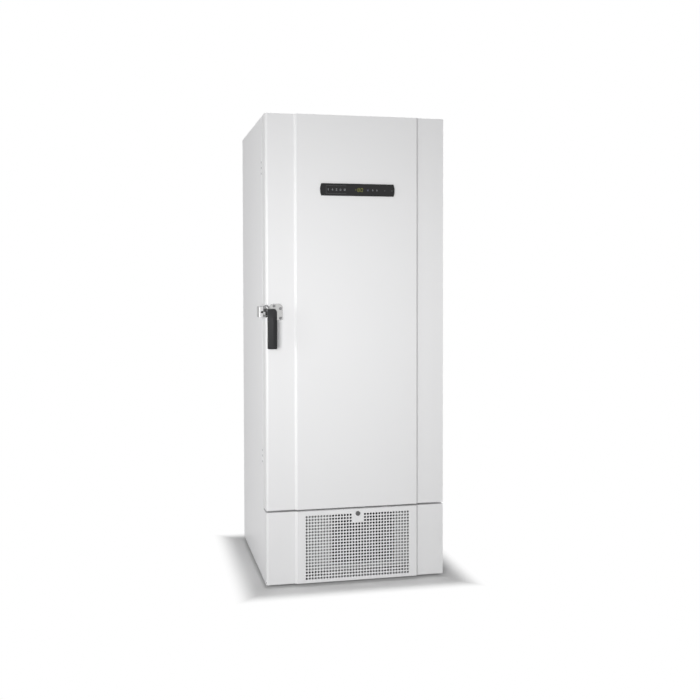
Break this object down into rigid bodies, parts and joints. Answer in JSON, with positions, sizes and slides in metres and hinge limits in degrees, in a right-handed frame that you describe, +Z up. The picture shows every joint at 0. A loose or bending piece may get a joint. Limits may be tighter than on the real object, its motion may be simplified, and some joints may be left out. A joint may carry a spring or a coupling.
{
  "type": "ultra low temperature freezer",
  "caption": "Tall white upright laboratory freezer with a full height latched door, a bowed black control panel and a perforated service panel below.",
  "frame": {"origin": "centre of the bounding box's bottom face, on the floor", "axes": "+Z up, the door faces -Y, +X to the right of someone facing the door"},
  "size_m": [0.826, 0.863, 1.976],
  "materials": {
    "white_paint": "satin powder coat",
    "insulation_foam": "rigid foam",
    "pale_plastic": "smooth matt",
    "chamber_steel": "brushed",
    "copper_tube": "drawn tube",
    "seal_rubber": "soft matt",
    "hinge_steel": "satin",
    "latch_stainless": "brushed",
    "dark_steel": "blackened",
    "charcoal_plastic": "fine grain",
    "black_window": "gloss",
    "circuit_board": "lacquered",
    "lock_metal": "dull chrome",
    "fin_aluminium": "bare fins",
    "black_metal": "semi gloss",
    "black_plastic": "matt",
    "mount_rubber": "matt",
    "grey_metal": "zinc plated"
  },
  "bodies": {
    "cabinet": {"side_panel_left": "white_paint", "side_panel_right": "white_paint", "top_panel": "white_paint", "back_panel": "white_paint", "deck_panel": "white_paint", "breaker_frame": "pale_plastic", "cabinet_insulation": "insulation_foam", "inner_liner": "chamber_steel", "evaporator_coil": "copper_tube", "shelves": "chamber_steel", "shelf_uprights": "chamber_steel", "shelf_clips": "chamber_steel", "temperature_probe": "chamber_steel", "access_port": "pale_plastic", "inner_hinge_brackets": "chamber_steel", "hinge_leaves": "hinge_steel", "hinge_pins": "hinge_steel", "hinge_screws": "hinge_steel", "hinge_hole_plugs": "pale_plastic", "latch_keeper": "latch_stainless", "panel_pivots": "dark_steel", "base_pan": "white_paint", "base_front_rail": "white_paint", "air_baffles": "white_paint", "condenser": "fin_aluminium", "fan_shroud": "black_metal", "fan_motor": "black_metal", "compressors": "black_metal", "compressor_mounts": "mount_rubber", "heat_exchanger": "black_plastic", "refrigerant_lines": "copper_tube", "electrical_box": "grey_metal", "rear_cover": "white_paint", "power_inlet": "black_plastic", "roller_brackets": "black_metal"},
    "main_door": {"door_skin": "white_paint", "door_insulation": "insulation_foam", "door_liner": "pale_plastic", "door_gasket": "seal_rubber", "door_hinge_leaves": "hinge_steel", "control_housing": "charcoal_plastic", "control_window": "black_window", "control_board": "circuit_board", "latch_plate": "latch_stainless", "latch_pin": "latch_stainless", "latch_screws": "dark_steel"},
    "latch_lever": {"latch_lever": "charcoal_plastic"},
    "latch_bolt": {"latch_bolt": "dark_steel"},
    "service_panel": {"service_panel": "white_paint"},
    "panel_lock": {"panel_lock": "lock_metal"},
    "fan": {"fan_blades": "black_plastic"},
    "power_switch": {"power_switch": "black_plastic"},
    "inner_door_1": {"inner_door_1": "pale_plastic"},
    "inner_door_2": {"inner_door_2": "pale_plastic"},
    "inner_door_3": {"inner_door_3": "pale_plastic"},
    "inner_door_4": {"inner_door_4": "pale_plastic"},
    "foot_left": {"foot_left": "grey_metal"},
    "foot_right": {"foot_right": "grey_metal"},
    "roller_left": {"roller_left": "black_plastic"},
    "roller_right": {"roller_right": "black_plastic"}
  },
  "joints": [
    {"name": "main_door_swing", "type": "hinge", "parent": "cabinet", "child": "main_door", "pos_m": [0.401, -0.2875, 1.151], "axis": [0, 0, 1], "range_deg": [0, 110]},
    {"name": "inner_door_1_swing", "type": "hinge", "parent": "cabinet", "child": "inner_door_1", "pos_m": [0.286, -0.2465, 0.5995], "axis": [0, 0, 1], "range_deg": [0, 90]},
    {"name": "inner_door_2_swing", "type": "hinge", "parent": "cabinet", "child": "inner_door_2", "pos_m": [0.286, -0.2465, 0.9685], "axis": [0, 0, 1], "range_deg": [0, 90]},
    {"name": "inner_door_3_swing", "type": "hinge", "parent": "cabinet", "child": "inner_door_3", "pos_m": [0.286, -0.2465, 1.3375], "axis": [0, 0, 1], "range_deg": [0, 90]},
    {"name": "inner_door_4_swing", "type": "hinge", "parent": "cabinet", "child": "inner_door_4", "pos_m": [0.286, -0.2465, 1.7065], "axis": [0, 0, 1], "range_deg": [0, 90]},
    {"name": "latch_lever_pull", "type": "hinge", "parent": "main_door", "child": "latch_lever", "pos_m": [-0.362, -0.4015, 1.15], "axis": [-1, 0, 0], "range_deg": [0, 60]},
    {"name": "latch_bolt_slide", "type": "slide", "parent": "main_door", "child": "latch_bolt", "axis": [1, 0, 0], "range_m": [0, 0.01]},
    {"name": "service_panel_tilt", "type": "hinge", "parent": "cabinet", "child": "service_panel", "pos_m": [0, -0.3655, 0.022], "axis": [1, 0, 0], "range_deg": [0, 85]},
    {"name": "panel_lock_turn", "type": "hinge", "parent": "service_panel", "child": "panel_lock", "pos_m": [0.005, -0.3835, 0.298], "axis": [0, 1, 0], "range_deg": [0, 90]},
    {"name": "fan_spin", "type": "hinge", "parent": "cabinet", "child": "fan", "pos_m": [0.0395, -0.2645, 0.1765], "axis": [0, 1, 0], "continuous": true},
    {"name": "power_switch_rock", "type": "hinge", "parent": "cabinet", "child": "power_switch", "pos_m": [0.266, 0.4235, 0.084], "axis": [1, 0, 0], "range_deg": [-20, 0]},
    {"name": "foot_left_turn", "type": "hinge", "parent": "cabinet", "child": "foot_left", "pos_m": [-0.325, -0.2905, 0.005], "axis": [0, 0, 1], "continuous": true},
    {"name": "foot_right_turn", "type": "hinge", "parent": "cabinet", "child": "foot_right", "pos_m": [0.325, -0.2905, 0.005], "axis": [0, 0, 1], "continuous": true},
    {"name": "roller_left_roll", "type": "hinge", "parent": "cabinet", "child": "roller_left", "pos_m": [-0.325, 0.3615, 0.025], "axis": [1, 0, 0], "continuous": true},
    {"name": "roller_right_roll", "type": "hinge", "parent": "cabinet", "child": "roller_right", "pos_m": [0.325, 0.3615, 0.025], "axis": [1, 0, 0], "continuous": true}
  ],
  "couplings": [
    {"joint": "inner_door_1_swing", "follows": "main_door_swing", "ratio": 0.818},
    {"joint": "inner_door_2_swing", "follows": "main_door_swing", "ratio": 0.818},
    {"joint": "inner_door_3_swing", "follows": "main_door_swing", "ratio": 0.818},
    {"joint": "inner_door_4_swing", "follows": "main_door_swing", "ratio": 0.818},
    {"joint": "latch_bolt_slide", "follows": "latch_lever_pull", "m_per_rad": 0.0095}
  ]
}
